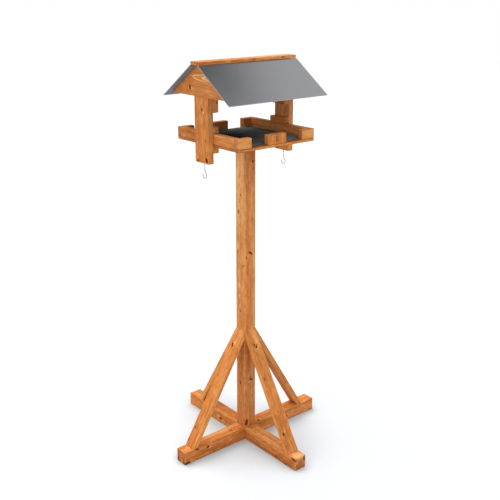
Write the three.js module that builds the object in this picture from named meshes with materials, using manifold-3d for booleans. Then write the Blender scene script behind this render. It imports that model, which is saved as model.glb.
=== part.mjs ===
// A roofed bird table on a post, built from planks: crossed feet, four braces, a railed tray and a sheet roof.
// Sizes are in millimetres. +Z is up, +X runs along the ridge, and the front of the roof faces -Y.
// The origin is on the floor, under the middle of the post.
import * as THREE from 'three';
import { mergeVertices } from 'three/addons/utils/BufferGeometryUtils.js';
import Module from 'manifold-3d';

const wasm = await Module();
wasm.setup();

// The space between two pieces that lie against each other, and how far a cut runs past a face
const fit = 0.3;
const overrun = 5;

// Feet: two equal beams, halved into each other a little off their middle
const footLength = 650;
const footWidth = 50;
const footHeight = 50;
const crossingOffset = 13.5;

// Post
const postSide = 50;
const postLength = 1121;

// Braces: the distance from the near end of a foot to the brace, and the height where it meets the post
const braceWidth = 48;
const braceThickness = 19;
const braceSetback = 37.5;
const braceHeight = 462;

// Tray: a square board with rails of one stock, and a loose mat inside them
const traySide = 336;
const boardThickness = 9;
const railThickness = 22;
const railHeight = 34;
const cornerBlockLength = 56;
const centreBlockLength = 78;
const matThickness = 4;
const matClearance = 1.5;

// Uprights, and the three blocks behind each of them
const uprightWidth = 75;
const uprightThickness = 21;
const uprightLength = 220;
const uprightDrop = 57;
const seatBlockHeight = 22;
const underBlockHeight = 22;
const cleatDrop = 50;

// Roof
const roofPitch = THREE.MathUtils.degToRad(35);
const gableHeight = 103.8;
const eaveReach = 181.5;
const sheetThickness = 3;
const gableOverhang = 25.7;
const ridgeBeamWidth = 44;
const ridgeBeamHeight = 27;
const capWidth = 44;
const capThickness = 11;
const capInset = 2;
const capLap = 0.5;

// Hooks: bent wire, screwed into the lower end of each upright
const wireDiameter = 3;
const wireSides = 8;
const hookSteps = 46;
const hookThread = 20;
const hookShank = 22.4;
const hookRadius = 10.5;
const hookTurn = THREE.MathUtils.degToRad(55);
const hookTipRise = THREE.MathUtils.degToRad(20);

// Countersunk screws: the head's top, its cone, the shank and the point
const boardScrew = { headRadius: 4, headHeight: 2.6, radius: 2, length: 45, point: 4 };
const postScrew = { headRadius: 6, headHeight: 4, radius: 3, length: 120, point: 6 };
const screwSides = 16;
const screwRecess = 0.5;
const boardScrewShare = 0.26;
const postScrewShare = 0.24;

// Heights that follow, from the floor up
const postBottom = footHeight + fit;
const boardBottom = postBottom + postLength + fit;
const boardTop = boardBottom + boardThickness;
const railBottom = boardTop + fit;
const railTop = railBottom + railHeight;
const uprightBottom = boardBottom - uprightDrop;
const uprightTop = uprightBottom + uprightLength;
const gableBottom = uprightTop + fit;
const gableTop = gableBottom + gableHeight;
const capBottom = gableTop + fit;
const ridgeBeamBottom = gableTop - ridgeBeamHeight;

// Reaches that follow, from the middle outwards
const trayReach = traySide / 2;
const railInside = trayReach - railThickness;
const uprightInside = trayReach + fit;
const roofReach = uprightInside + uprightThickness + gableOverhang;
const nearFootReach = footLength / 2 - crossingOffset;
const braceReach = nearFootReach - braceSetback;
const sheetTopReach = capWidth / 2 - capLap;

const wood = new THREE.MeshStandardMaterial({ color: 0xc8803f, roughness: 0.6, metalness: 0 });
const sheetMetal = new THREE.MeshStandardMaterial({ color: 0x7b7e80, roughness: 0.45, metalness: 0.5 });
const rubber = new THREE.MeshStandardMaterial({ color: 0x2f3335, roughness: 0.8, metalness: 0 });
const zinc = new THREE.MeshStandardMaterial({ color: 0xc4c7c9, roughness: 0.3, metalness: 1 });

const birdTable = new THREE.Group();

// One named piece, placed in the object or in a group of it
function addPiece(name, geometry, material, place = [0, 0, 0], parent = birdTable) {
  const piece = new THREE.Mesh(geometry, material);
  piece.name = name;
  piece.position.set(...place);
  parent.add(piece);
  return piece;
}

// The middle of a span that starts at one height and goes up by a size
function middle(bottom, size) {
  return bottom + size / 2;
}

function toSolid(geometry) {
  const bare = geometry.clone();
  bare.deleteAttribute('normal');
  bare.deleteAttribute('uv');
  const merged = mergeVertices(bare);
  const vertProperties = new Float32Array(merged.attributes.position.array);
  const triVerts = new Uint32Array(merged.index.array);
  return new wasm.Manifold(new wasm.Mesh({ numProp: 3, vertProperties, triVerts }));
}

// A piece with its neighbours' shapes cut out of it. The cutters lie in the object, the piece at its place.
function carve(geometry, place, cutters) {
  let solid = toSolid(geometry);
  for (const cutter of cutters) {
    const shape = cutter.clone().translate(-place[0], -place[1], -place[2]);
    solid = solid.subtract(toSolid(shape));
  }
  const mesh = solid.getMesh();
  const carved = new THREE.BufferGeometry();
  carved.setAttribute('position', new THREE.BufferAttribute(mesh.vertProperties, 3));
  carved.setIndex(new THREE.BufferAttribute(mesh.triVerts, 1));
  carved.computeVertexNormals();
  return carved;
}

// An outline drawn across the ridge, as points of depth and height, drawn out along the ridge about its middle
function alongRidge(outline, length) {
  const shape = new THREE.Shape(outline.map(([y, z]) => new THREE.Vector2(y, z)));
  const prism = new THREE.ExtrudeGeometry(shape, { depth: length, bevelEnabled: false });
  prism.translate(0, 0, -length / 2);
  prism.rotateX(Math.PI / 2);
  prism.rotateZ(Math.PI / 2);
  return prism;
}

// The shape of a countersunk screw that points down from its head's top, made wider for its hole
function screwShape(size, room) {
  const tip = size.length + room;
  const profile = [
    [0, -tip],
    [size.radius + room, -tip + size.point],
    [size.radius + room, -size.headHeight],
    [size.headRadius + room, 0],
    [size.headRadius + room, room > 0 ? overrun : 0],
    [0, room > 0 ? overrun : 0],
  ];
  const points = profile.map(([r, z]) => new THREE.Vector2(r, z));
  const unique = points.filter((point, i) => i === 0 || !point.equals(points[i - 1]));
  return new THREE.LatheGeometry(unique, screwSides).rotateX(Math.PI / 2);
}

// The screws that go down through the board into the post
const boardScrewReach = postSide * boardScrewShare;
const boardScrewPlaces = [];
for (const x of [-boardScrewReach, boardScrewReach]) {
  for (const y of [-boardScrewReach, boardScrewReach]) {
    boardScrewPlaces.push([x, y, boardTop - screwRecess]);
  }
}

// The screws that go up through both feet into the post, their heads under the crossing
const postScrewReach = postSide * postScrewShare;
const postScrewPlaces = [
  [-postScrewReach, postScrewReach, screwRecess],
  [postScrewReach, -postScrewReach, screwRecess],
];

function boardScrewHoles() {
  return boardScrewPlaces.map((place) => screwShape(boardScrew, fit).translate(...place));
}

function postScrewHoles() {
  return postScrewPlaces.map((place) => screwShape(postScrew, fit).rotateX(Math.PI).translate(...place));
}

function addScrews() {
  boardScrewPlaces.forEach((place, i) => {
    addPiece(`board_screw_${i + 1}`, screwShape(boardScrew, 0), zinc, place);
  });
  postScrewPlaces.forEach((place, i) => {
    addPiece(`post_screw_${i + 1}`, screwShape(postScrew, 0).rotateX(Math.PI), zinc, place);
  });
}

// The feet cross under the post. Each gives up half its height there, the lower one on top.
function addFeet() {
  const lapBottom = (footHeight - fit) / 2;
  const lapHeight = footHeight / 2 + overrun;
  const lapWidth = footWidth + 2 * fit;
  const lowerPlace = [crossingOffset, 0, footHeight / 2];
  const upperPlace = [0, crossingOffset, footHeight / 2];
  const lap = new THREE.BoxGeometry(lapWidth, lapWidth, lapHeight);
  const topLap = lap.clone().translate(0, 0, lapBottom + lapHeight / 2);
  const underLap = lap.clone().translate(0, 0, footHeight - lapBottom - lapHeight / 2);
  const lower = new THREE.BoxGeometry(footLength, footWidth, footHeight);
  const upper = new THREE.BoxGeometry(footWidth, footLength, footHeight);
  const lowerShape = carve(lower, lowerPlace, [topLap, ...postScrewHoles()]);
  const upperShape = carve(upper, upperPlace, [underLap, ...postScrewHoles()]);
  addPiece('foot_beam_lower', lowerShape, wood, lowerPlace);
  addPiece('foot_beam_upper', upperShape, wood, upperPlace);
}

function addPost() {
  const place = [0, 0, middle(postBottom, postLength)];
  const post = new THREE.BoxGeometry(postSide, postSide, postLength);
  addPiece('post', carve(post, place, [...boardScrewHoles(), ...postScrewHoles()]), wood, place);
}

// A brace is a plank with both ends mitred, flat on its foot and flat on the post
function addBraces() {
  const footTop = footHeight + fit;
  const postFace = postSide / 2 + fit;
  const slope = Math.atan2(braceHeight - footTop, braceReach - postFace);
  const footInside = braceReach - braceThickness / Math.sin(slope);
  const postLower = braceHeight - braceThickness / Math.cos(slope);
  const shape = new THREE.Shape();
  shape.moveTo(footInside, footTop);
  shape.lineTo(braceReach, footTop);
  shape.lineTo(postFace, braceHeight);
  shape.lineTo(postFace, postLower);
  shape.closePath();
  const plank = new THREE.ExtrudeGeometry(shape, { depth: braceWidth, bevelEnabled: false });
  plank.translate(0, 0, -braceWidth / 2);
  plank.rotateX(Math.PI / 2);
  const sides = ['right', 'back', 'left', 'front'];
  sides.forEach((side, i) => {
    const turned = new THREE.Group();
    turned.rotation.z = i * Math.PI / 2;
    birdTable.add(turned);
    addPiece(`brace_${side}`, plank.clone(), wood, [0, 0, 0], turned);
  });
}

function addTrayBoard() {
  const place = [0, 0, middle(boardBottom, boardThickness)];
  const board = new THREE.BoxGeometry(traySide, traySide, boardThickness);
  addPiece('tray_board', carve(board, place, boardScrewHoles()), wood, place);
}

// The end rails run between the front and back blocks, whose outer ends make the tray's corners
function addRails() {
  const height = middle(railBottom, railHeight);
  const inset = trayReach - railThickness / 2;
  const endLength = traySide - 2 * (railThickness + fit);
  const cornerMiddle = trayReach - cornerBlockLength / 2;
  for (const [side, x] of [['left', -inset], ['right', inset]]) {
    addPiece(`rail_${side}`, new THREE.BoxGeometry(railThickness, endLength, railHeight), wood, [x, 0, height]);
  }
  for (const [row, y] of [['front', -inset], ['back', inset]]) {
    const corner = new THREE.BoxGeometry(cornerBlockLength, railThickness, railHeight);
    const centre = new THREE.BoxGeometry(centreBlockLength, railThickness, railHeight);
    addPiece(`${row}_corner_left`, corner, wood, [-cornerMiddle, y, height]);
    addPiece(`${row}_centre`, centre, wood, [0, y, height]);
    addPiece(`${row}_corner_right`, corner.clone(), wood, [cornerMiddle, y, height]);
  }
}

function addMat() {
  const side = 2 * (railInside - matClearance);
  addPiece('feeding_mat', new THREE.BoxGeometry(side, side, matThickness), rubber, [
    0, 0, middle(boardTop + fit, matThickness),
  ]);
}

// Where the underside of a sheet's seat lies: its height at a distance from the ridge, and the other way round
const seatDepth = sheetThickness + fit;
const seatTopReach = sheetTopReach - seatDepth * Math.sin(roofPitch);
const seatTopHeight = gableTop - seatDepth * Math.cos(roofPitch);

function seatHeight(reach) {
  return seatTopHeight - (reach - seatTopReach) * Math.tan(roofPitch);
}

function seatReach(height) {
  return seatTopReach + (seatTopHeight - height) / Math.tan(roofPitch);
}

// A plank outside each end rail, with a block below the tray, one on the rail and a cleat under the roof behind it
function addEnds() {
  const uprightMiddle = uprightInside + uprightThickness / 2;
  const blockMiddle = trayReach - railThickness / 2;
  const underBottom = boardBottom - fit - underBlockHeight;
  const seatBottom = railTop + fit;
  const cleatBottom = uprightTop - cleatDrop;
  const cleatHeight = ridgeBeamBottom - fit - cleatBottom;
  const blocks = [
    ['under_block', underBottom, underBlockHeight],
    ['seat_block', seatBottom, seatBlockHeight],
    ['cleat', cleatBottom, cleatHeight],
  ];
  for (const [side, way] of [['left', -1], ['right', 1]]) {
    const place = [way * uprightMiddle, 0, middle(uprightBottom, uprightLength)];
    const plank = new THREE.BoxGeometry(uprightThickness, uprightWidth, uprightLength);
    addPiece(`upright_${side}`, carve(plank, place, [hookHole(place[0])]), wood, place);
    for (const [name, bottom, height] of blocks) {
      const block = new THREE.BoxGeometry(railThickness, uprightWidth, height);
      addPiece(`${name}_${side}`, block, wood, [way * blockMiddle, 0, middle(bottom, height)]);
    }
    addPiece(`hook_${side}`, hookShape(), zinc, [place[0], 0, uprightBottom]);
  }
}

function addGables() {
  const halfTop = seatReach(gableTop);
  const halfBottom = seatReach(gableBottom);
  const outline = [
    [-halfBottom, gableBottom],
    [halfBottom, gableBottom],
    [halfTop, gableTop],
    [-halfTop, gableTop],
  ];
  const offset = uprightInside + uprightThickness / 2;
  addPiece('gable_left', alongRidge(outline, uprightThickness), wood, [-offset, 0, 0]);
  addPiece('gable_right', alongRidge(outline, uprightThickness), wood, [offset, 0, 0]);
}

// The ridge beam lies on the cleats, between the gables, and its upper edges are planed to the roof's slope
function addRidge() {
  const half = ridgeBeamWidth / 2;
  const halfTop = seatReach(gableTop);
  const outline = [
    [-half, ridgeBeamBottom],
    [half, ridgeBeamBottom],
    [half, seatHeight(half)],
    [halfTop, gableTop],
    [-halfTop, gableTop],
    [-half, seatHeight(half)],
  ];
  addPiece('ridge_beam', alongRidge(outline, 2 * (uprightInside - fit)), wood);
  const cap = new THREE.BoxGeometry(2 * (roofReach - capInset), capWidth, capThickness);
  addPiece('ridge_cap', cap, wood, [0, 0, middle(capBottom, capThickness)]);
}

// Each sheet lies on the gables and the ridge beam, and its upper edge is tucked under the cap
function addSheets() {
  const eaveHeight = gableTop - (eaveReach - sheetTopReach) * Math.tan(roofPitch);
  const inward = sheetThickness * Math.sin(roofPitch);
  const downward = sheetThickness * Math.cos(roofPitch);
  const outline = [
    [sheetTopReach, gableTop],
    [sheetTopReach - inward, gableTop - downward],
    [eaveReach - inward, eaveHeight - downward],
    [eaveReach, eaveHeight],
  ];
  const mirrored = outline.map(([y, z]) => [-y, z]).reverse();
  addPiece('roof_sheet_back', alongRidge(outline, 2 * roofReach), sheetMetal);
  addPiece('roof_sheet_front', alongRidge(mirrored, 2 * roofReach), sheetMetal);
}

// The hook's wire comes straight down, bows towards the front and turns back up into an open loop
function hookPath() {
  const bowRadius = hookRadius * Math.cos(hookTurn) / (1 - Math.cos(hookTurn));
  const loopHeight = -hookShank - (bowRadius + hookRadius) * Math.sin(hookTurn);
  const line = new THREE.Path();
  line.moveTo(0, hookThread);
  line.lineTo(0, -hookShank);
  line.absarc(-bowRadius, -hookShank, bowRadius, 0, -hookTurn, true);
  line.absarc(0, loopHeight, hookRadius, Math.PI - hookTurn, 2 * Math.PI + hookTipRise, false);
  const points = line.getSpacedPoints(hookSteps).map(({ x, y }) => new THREE.Vector3(0, x, y));
  return new THREE.CatmullRomCurve3(points);
}

function hookShape() {
  const section = new THREE.Shape();
  for (let i = 0; i < wireSides; i += 1) {
    const angle = 2 * Math.PI * i / wireSides;
    const x = wireDiameter / 2 * Math.cos(angle);
    const y = wireDiameter / 2 * Math.sin(angle);
    if (i === 0) {
      section.moveTo(x, y);
    } else {
      section.lineTo(x, y);
    }
  }
  section.closePath();
  return new THREE.ExtrudeGeometry(section, { steps: hookSteps, bevelEnabled: false, extrudePath: hookPath() });
}

// The pilot hole for a hook, from below the upright up to just past the end of the thread
function hookHole(x) {
  const radius = wireDiameter / 2 + fit;
  const height = hookThread + fit + overrun;
  const hole = new THREE.CylinderGeometry(radius, radius, height, screwSides).rotateX(Math.PI / 2);
  return hole.translate(x, 0, uprightBottom - overrun + height / 2);
}

addFeet();
addPost();
addBraces();
addTrayBoard();
addRails();
addMat();
addEnds();
addGables();
addRidge();
addSheets();
addScrews();

export default birdTable;
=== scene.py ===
# %% [markdown]
# A roofed bird table, dressed for the camera
#
# The object is a garden bird table: a post on crossed feet, four braces, a tray with low rails and a loose
# rubber mat, and a pitched roof of two thin sheets. The solids come from a CAD model. This lesson gives
# every piece its eased edges and its finish. Three things matter in turn: the frame that carries the
# pieces, the finishes, and then the pieces themselves, from the floor up.

# %% Load the frame and keep the CAD box
import math

import bmesh
import bpy
from mathutils import Euler, Matrix, Vector


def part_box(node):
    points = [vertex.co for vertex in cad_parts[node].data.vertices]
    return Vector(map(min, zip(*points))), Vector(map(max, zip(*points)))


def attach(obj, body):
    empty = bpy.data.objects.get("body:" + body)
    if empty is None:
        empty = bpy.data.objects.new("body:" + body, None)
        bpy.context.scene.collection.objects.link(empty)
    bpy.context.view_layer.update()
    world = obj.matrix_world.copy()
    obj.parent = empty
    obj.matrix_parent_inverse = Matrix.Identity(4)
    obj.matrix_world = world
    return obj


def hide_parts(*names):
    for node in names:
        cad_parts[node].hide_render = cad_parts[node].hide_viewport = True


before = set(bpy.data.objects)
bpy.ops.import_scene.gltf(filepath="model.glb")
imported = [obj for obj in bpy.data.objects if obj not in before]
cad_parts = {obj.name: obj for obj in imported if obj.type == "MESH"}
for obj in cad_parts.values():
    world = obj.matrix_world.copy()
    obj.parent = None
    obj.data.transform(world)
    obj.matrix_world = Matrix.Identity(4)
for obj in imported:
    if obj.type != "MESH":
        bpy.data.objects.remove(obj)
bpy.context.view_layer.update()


def rounded(point):
    """A point that is short enough to print."""
    return tuple(round(value, 4) for value in point)


# %% [markdown]
# Millimetres and colours
#
# Blender counts in metres and in linear light. A maker thinks in millimetres, and picks colours off a
# screen as sRGB hex values. Two small helpers turn one into the other, so that every size and colour below
# can be written the way it is known.

# %% Millimetres to metres, hex to linear light
MM = 0.001


def in_metres(*sizes):
    """A point or a size given in millimetres, as a vector in metres."""
    return Vector([size * MM for size in sizes])


def linear(hex_colour):
    """An sRGB hex colour as the linear red, green, blue and alpha that sockets want."""
    channels = [int(hex_colour[i:i + 2], 16) / 255 for i in (1, 3, 5)]
    return [c / 12.92 if c <= 0.04045 else ((c + 0.055) / 1.055) ** 2.4 for c in channels] + [1.0]


print("warm stain #E2924F is linear", rounded(linear("#E2924F")))

# %% [markdown]
# One helper for all shader nodes
#
# A material could be clicked together in the editor, but a script has to say each node. A node needs its
# settings, and for each socket a value or a link. One function takes all of it. A socket is named by its
# number or its name, and of sockets that share a name it takes the one that is in use. Many nodes are
# ramps, which turn one range of numbers into another: where the ramp begins and ends, and its values at
# those two places.

# %% Add a node with its settings and inputs
# The sockets of a ramp, and the settings of a smooth ramp and of a mix of colours.
RAMP = ("From Min", "From Max", "To Min", "To Max")
SMOOTH = {"interpolation_type": "SMOOTHSTEP"}
COLOURS = {"data_type": "RGBA"}


def set_inputs(tree, node, inputs):
    """Gives sockets a value, or a link from a socket or from a node's first output in use. A tuple of socket
    names takes a tuple of values, which may be shorter."""
    in_use = {s.name: s for s in reversed(node.inputs) if s.enabled}
    for key, source in inputs.items():
        if isinstance(key, tuple):
            set_inputs(tree, node, dict(zip(key, source)))
            continue
        socket = node.inputs[key] if isinstance(key, int) else in_use[key]
        if isinstance(source, bpy.types.Node):
            source = next(s for s in source.outputs if s.enabled)
        if isinstance(source, bpy.types.NodeSocket):
            tree.links.new(source, socket)
        else:
            socket.default_value = source


def add_node(tree, kind, inputs=None, **settings):
    """Adds a shader node."""
    node = tree.nodes.new("ShaderNode" + kind)
    for setting, value in settings.items():
        setattr(node, setting, value)
    set_inputs(tree, node, inputs or {})
    return node


def new_material(name):
    """An empty material, its node tree and its Principled shader."""
    material = bpy.data.materials.new(name)
    material.use_nodes = True
    return material, material.node_tree, material.node_tree.nodes["Principled BSDF"]


print("node kinds are written without the word ShaderNode, such as TexNoise or Mix")

# %% [markdown]
# The camera
#
# The picture was taken from the front left, a little above the roof, with a long lens. The place, the
# heading and the lens were solved from the corners of the post, the tray and the feet, so the script only
# sets them. The picture is square, so the lens holds for both directions. A camera looks along its own -Z.

# %% Set up the camera
CAMERA_PLACE = in_metres(-1768.75, -2145.2, 1698.07)
CAMERA_HEADING = math.radians(50.171)
CAMERA_DIP = math.radians(18.54)
LENS_MM = 57.9136
SENSOR_MM = 36


def add_object(name, data):
    """Puts an object into the scene."""
    thing = bpy.data.objects.new(name, data)
    bpy.context.collection.objects.link(thing)
    return thing


def aim(thing, way):
    """Turns a camera or a lamp so that it looks or shines along a direction."""
    thing.rotation_mode = "QUATERNION"
    thing.rotation_quaternion = Vector(way).to_track_quat("-Z", "Y")


camera = add_object("picture_camera", bpy.data.cameras.new("picture_camera"))
camera.data.lens = LENS_MM
camera.data.sensor_width = SENSOR_MM
camera.location = CAMERA_PLACE
flat = math.cos(CAMERA_DIP)
sight = (math.cos(CAMERA_HEADING) * flat, math.sin(CAMERA_HEADING) * flat, -math.sin(CAMERA_DIP))
aim(camera, sight)
bpy.context.scene.camera = camera
bpy.context.scene.view_settings.view_transform = "Standard"
print("camera at", rounded(camera.location), "looking along", rounded(sight))

# %% [markdown]
# The studio's light
#
# A white studio lights the object from everywhere. The even part of that light is the world: a slightly
# cool mid grey for light that falls on the object. Rays from the camera see pure white, and so do
# mirror-like rays near the horizon, where a studio has its white sweep. Higher up they see a darker
# ceiling, almost black towards the back, which gives the roof sheets something to shade off against.

# %% The world: even light, a white background and a darker ceiling in reflections
AMBIENT = 0.483
AMBIENT_COLOUR = "#E4F0FF"
SEEN_COLOUR = "#FFFFFF"
SEEN_LEVEL = 1.0
CEILING_TO_BACK = (0.12, 0.17, 0.5, 0.02)
SWEEP_TO_CEILING = (0.738, 0.768, SEEN_LEVEL, 0.0)

world = bpy.data.worlds.new("white_studio")
bpy.context.scene.world = world
world.use_nodes = True
sky = world.node_tree
ray = add_node(sky, "LightPath").outputs
way = add_node(sky, "SeparateXYZ", {0: add_node(sky, "TexCoord").outputs["Generated"]}).outputs
ceiling = add_node(sky, "MapRange", {"Value": way["Y"], RAMP: CEILING_TO_BACK}, **SMOOTH)
sweep = add_node(sky, "MapRange", {"Value": way["Z"], RAMP: SWEEP_TO_CEILING}, **SMOOTH)
mirrored = add_node(sky, "Mix", {"Factor": sweep, "A": ceiling, "B": SEEN_LEVEL}, data_type="FLOAT")
glossy, through, to_camera = ray["Is Glossy Ray"], ray["Is Transmission Ray"], ray["Is Camera Ray"]
mirror_ray = add_node(sky, "Math", {0: glossy, 1: through}, operation="MAXIMUM")
all_others = add_node(sky, "Mix", {"Factor": mirror_ray, "A": AMBIENT, "B": mirrored}, data_type="FLOAT")
strength = add_node(sky, "Mix", {"Factor": to_camera, "A": all_others, "B": SEEN_LEVEL}, data_type="FLOAT")
seen = add_node(sky, "Math", {0: mirror_ray, 1: to_camera}, operation="MAXIMUM")
tint = add_node(sky, "Mix", {"Factor": seen, "A": linear(AMBIENT_COLOUR), "B": linear(SEEN_COLOUR)},
                **COLOURS)
set_inputs(sky, sky.nodes["Background"], {"Strength": strength, "Color": tint})
print("world: ambient", AMBIENT, "and ceiling in reflections", CEILING_TO_BACK[2:])

# %% [markdown]
# The lamps
#
# A large lamp far away can be a sun with a wide angle: its light is even over the whole floor and its
# shadows are soft. The key shines steeply down from behind, and throws the soft shadow forward. A weaker
# lamp slants down from the front, and lights the faces that look this way. A third one stands low on the
# left, so that the post's two visible faces differ. The lamps are as slightly warm as the world is cool, so
# the open floor stays white. Mirror-like rays don't see them, so the roof sheets show the white studio and
# no blazing spot.

# %% Three wide lamps
LAMP_COLOUR = "#FFFAF3"
# Each lamp's direction, its strength and its width in degrees.
LAMPS = {"key_lamp": ((0.06, -0.35, -1.0), 2.22, 55),
         "front_lamp": ((0.0, 0.8, -1.0), 1.11, 40),
         "left_lamp": ((1.0, 0.05, -0.3), 0.84, 40)}

for name, (direction, power, width) in LAMPS.items():
    lamp = add_object(name, bpy.data.lights.new(name, "SUN"))
    lamp.data.energy = power
    lamp.data.color = linear(LAMP_COLOUR)[:3]
    lamp.data.angle = math.radians(width)
    lamp.visible_glossy = False
    aim(lamp, direction)
print("lamps:", {name: power for name, (direction, power, width) in LAMPS.items()})

# %% [markdown]
# The floor
#
# The floor is plain white and runs out of sight. To the camera it is a shade lighter than to all other
# rays, so that it comes out as white as the background and still keeps the shadow. To the other rays it is
# simply a pale floor that throws light back up under the tray and the roof. Orange wood tints the floor
# beside it and fills its shadow. In the picture that shadow is deeper and a neutral grey, so an Ambient
# Occlusion node finds the places where the feet stand over the floor, and a darker, cooler shadow is
# painted onto the floor there.

# %% Floor
FLOOR_RADIUS = 14.0
FLOOR_SIDES = 96
FLOOR_DROP = 0.2
FLOOR_FOR_LIGHT = "#D9D9D9"
FLOOR_ROUGHNESS = 0.9
OPEN_FLOOR = "#E2E6EA"
FLOOR_PAINTED_SHADOW = "#BECCD0"
FEET_REACH = 0.3
FEET_SAMPLES = 12
HIDDEN_TO_OPEN = (0.5, 0.9)


def mesh_object(name, shape, materials):
    """Turns a finished shape into an object with these materials."""
    mesh = bpy.data.meshes.new(name)
    shape.to_mesh(mesh)
    shape.free()
    for material in materials:
        mesh.materials.append(material)
    return add_object(name, mesh)


white_floor, tree, shader = new_material("white_floor")
set_inputs(tree, shader, {"Base Color": linear(FLOOR_FOR_LIGHT), "Roughness": FLOOR_ROUGHNESS,
                          "Specular IOR Level": 0.0})
unhidden = add_node(tree, "AmbientOcclusion", {"Distance": FEET_REACH}, samples=FEET_SAMPLES).outputs["AO"]
openness = add_node(tree, "MapRange", {"Value": unhidden, RAMP: HIDDEN_TO_OPEN})
painted_shadow, in_the_open = linear(FLOOR_PAINTED_SHADOW), linear(OPEN_FLOOR)
# Painted shadow: near the feet the floor's colour for the camera turns darker and cooler.
tone = add_node(tree, "Mix", {"Factor": openness, "A": painted_shadow, "B": in_the_open}, **COLOURS)
shown = add_node(tree, "BsdfDiffuse", {"Color": tone})
to_camera = add_node(tree, "LightPath").outputs["Is Camera Ray"]
surface = add_node(tree, "MixShader", {0: to_camera, 1: shader, 2: shown})
set_inputs(tree, tree.nodes["Material Output"], {"Surface": surface})

shape = bmesh.new()
bmesh.ops.create_circle(shape, cap_ends=True, segments=FLOOR_SIDES, radius=FLOOR_RADIUS)
bmesh.ops.translate(shape, verts=shape.verts, vec=in_metres(0, 0, -FLOOR_DROP))
studio_floor = mesh_object("studio_floor", shape, [white_floor])
print("floor radius", FLOOR_RADIUS, "m")

# %% [markdown]
# Wood, step 1: where in the trunk a plank was cut
#
# The wood is planed softwood under a satin orange-brown stain. A flat picture of grain wrapped round a box
# never meets at the edges. Real grain is solid: it is the trunk's year rings, cut through by the plank's
# faces. So each plank gets its own trunk. A Mapping node moves the coordinates to the trunk's pith and
# turns X along the grain. A flat face near the pith then shows pointed arches, a face further off shows
# stripes, and an end shows arcs, all from one pattern.

# %% The trunk's coordinates, and noise drawn out along the grain
def trunk_coordinates(tree, grain, pith):
    """Object coordinates, moved to a point of the pith and turned so that X runs along the grain."""
    turn = Vector((1, 0, 0)).rotation_difference(Vector(grain))
    place = add_node(tree, "TexCoord").outputs["Object"]
    trunk = add_node(tree, "Mapping", {"Vector": place, "Location": pith, "Rotation": turn.to_euler()},
                     vector_type="TEXTURE")
    return trunk, turn


def drawn_noise(tree, place, along, across, seed, detail=2.0):
    """Noise whose waves are this long and this wide, in millimetres."""
    waves = (1 / (along * MM), 1 / (across * MM), 1 / (across * MM))
    drawn = add_node(tree, "VectorMath", {0: place, 1: waves}, operation="MULTIPLY")
    return add_node(tree, "TexNoise", {"Vector": drawn, "W": seed, "Scale": 1.0, "Detail": detail},
                    noise_dimensions="4D")


def shifted(tree, place, noise, reach):
    """The place, moved by a noise's colour by up to about half the reach, in millimetres."""
    colour, grey = noise.outputs["Color"], (0.5, 0.5, 0.5)
    centred = add_node(tree, "VectorMath", {0: colour, 1: grey}, operation="SUBTRACT")
    sized = add_node(tree, "VectorMath", {0: centred, "Scale": reach * MM}, operation="SCALE")
    return add_node(tree, "VectorMath", {0: place, 1: sized}, operation="ADD")


print("grain frame ready")

# %% [markdown]
# Wood, step 2: knots and patches
#
# A knot is the foot of a branch. It is hard and dark, and the year rings swell out round it. A mark here is
# a ball in the trunk's space, longer along the grain than across: its middle, its radius, how many times
# longer it is, and its depth. Each mark does two jobs: its core darkens the wood, and a wider swell pushes
# the rings outward. A mark with a negative depth is a light flame, where the saw just grazed a ring. A
# patch is a wide soft ball without a swell, where the wood took up more stain, or less if its depth is
# negative. A few marks and patches further down are painted light and painted shade instead, and a
# comment says so where they stand.

# %% Knots, flames and patches
KNOT_CORE = (0.7, 1.2, 1.0, 0.0)
KNOT_SWELL = (0.0, 3.2, 1.0, 0.0)
SWELL_SHARE = 0.9
PATCH_EDGE = (0.3, 1.2)


def radii_away(tree, place, pith, turn, spot, radius, stretch):
    """How far a place is from the middle of a ball that is drawn out along the grain, in its radii."""
    local = turn.inverted() @ (in_metres(*spot) - pith)
    away = add_node(tree, "VectorMath", {0: place, 1: local}, operation="SUBTRACT")
    sizes = [1 / (radius * stretch * MM), 1 / (radius * MM), 1 / (radius * MM)]
    radii = add_node(tree, "VectorMath", {0: away, 1: sizes}, operation="MULTIPLY")
    return add_node(tree, "VectorMath", {0: radii}, operation="LENGTH")


def add_marks(tree, place, pith, turn, marks):
    """Adds up all marks: how dark the wood is there, and how far its rings are pushed out, in metres."""
    shade = swell = None
    for spot, radius, stretch, depth in marks:
        off = radii_away(tree, place, pith, turn, spot, radius, stretch)
        core = add_node(tree, "MapRange", {"Value": off, RAMP: KNOT_CORE}, **SMOOTH)
        around = add_node(tree, "MapRange", {"Value": off, RAMP: KNOT_SWELL},
                          interpolation_type="SMOOTHERSTEP")
        shade = add_node(tree, "Math", {0: core, 1: depth, 2: shade or 0.0}, operation="MULTIPLY_ADD")
        push = SWELL_SHARE * radius * MM
        swell = add_node(tree, "Math", {0: around, 1: push, 2: swell or 0.0}, operation="MULTIPLY_ADD")
    return shade, swell


def add_patches(tree, place, pith, turn, patches):
    """Adds up the wide soft patches."""
    patchy = None
    for spot, radius, stretch, depth in patches:
        off = radii_away(tree, place, pith, turn, spot, radius, stretch)
        soft = add_node(tree, "MapRange", {"Value": off, RAMP: (*PATCH_EDGE, depth, 0.0)}, **SMOOTH)
        patchy = add_node(tree, "Math", {0: patchy, 1: soft}, operation="ADD") if patchy else soft
    return patchy


print("marks ready")

# %% [markdown]
# Wood, step 3: pointed arches
#
# Where the saw ran just under a ring, a flat face shows that ring as a pale pointed line. Such an arch is a
# parabola along the grain, and its line fades along its two arms. The way to it along the grain is too long
# where the arms run steeply, so it is divided by their slope, which keeps the line equally wide all along.

# %% Pale arches
ARCH_LINE = (0.8 * MM, 2.8 * MM)
ARCH_FADE = (12 * MM, 80 * MM, 1.0, 0.15)


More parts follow.
